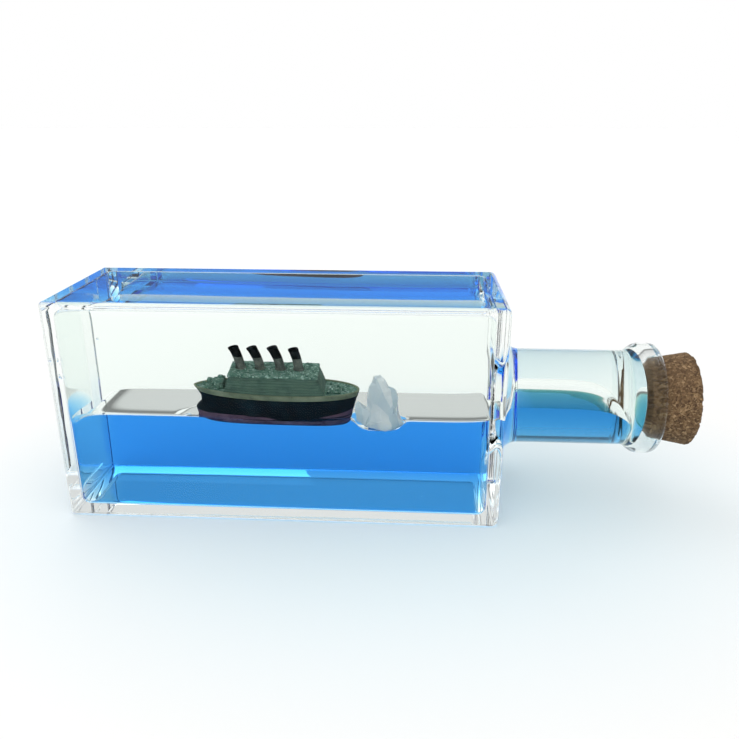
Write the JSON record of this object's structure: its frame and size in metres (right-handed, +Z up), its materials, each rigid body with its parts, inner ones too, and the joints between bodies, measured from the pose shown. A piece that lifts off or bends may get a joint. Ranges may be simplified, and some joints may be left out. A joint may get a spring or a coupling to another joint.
{
  "type": "ship in a bottle",
  "caption": "Sealed square glass bottle on its side, with blue water under clear oil and a small liner and an iceberg afloat between them.",
  "frame": {"origin": "under the middle of the whole object, on the surface that it lies on", "axes": "+X along the bottle towards the cork, +Y towards the back, +Z up"},
  "size_m": [0.174, 0.0426, 0.0624],
  "materials": {
    "glass": "polished",
    "cork": "matte",
    "seal": "gloss",
    "water": "gloss",
    "oil": "gloss",
    "keel_paint": "satin",
    "hull_paint": "satin",
    "deck_paint": "satin",
    "house_paint": "satin",
    "roof_paint": "satin",
    "funnel_paint": "satin",
    "ice_resin": "satin"
  },
  "bodies": {
    "bottle": {"bottle": "glass", "inner_seal": "seal", "blue_water": "water", "clear_oil": "oil"},
    "cork": {"cork_stopper": "cork"},
    "ship": {"ship_keel": "keel_paint", "ship_hull": "hull_paint", "ship_deck": "deck_paint", "ship_deckhouse": "house_paint", "ship_boat_deck": "roof_paint", "aft_deck_fittings": "roof_paint", "fore_deck_fittings": "roof_paint", "funnel_1": "funnel_paint", "funnel_2": "funnel_paint", "funnel_3": "funnel_paint", "funnel_4": "funnel_paint"},
    "iceberg": {"iceberg": "ice_resin"}
  },
  "joints": [
    {"name": "cork_pull", "type": "slide", "parent": "bottle", "child": "cork", "axis": [1, 0, 0], "range_m": [0, 0.02]},
    {"name": "ship_drift", "type": "slide", "parent": "bottle", "child": "ship", "axis": [1, 0, 0], "range_m": [-0.028, 0], "deforming": ["blue_water", "clear_oil"]},
    {"name": "iceberg_drift", "type": "slide", "parent": "bottle", "child": "iceberg", "axis": [1, 0, 0], "range_m": [0, 0.018], "deforming": ["blue_water", "clear_oil"]}
  ]
}
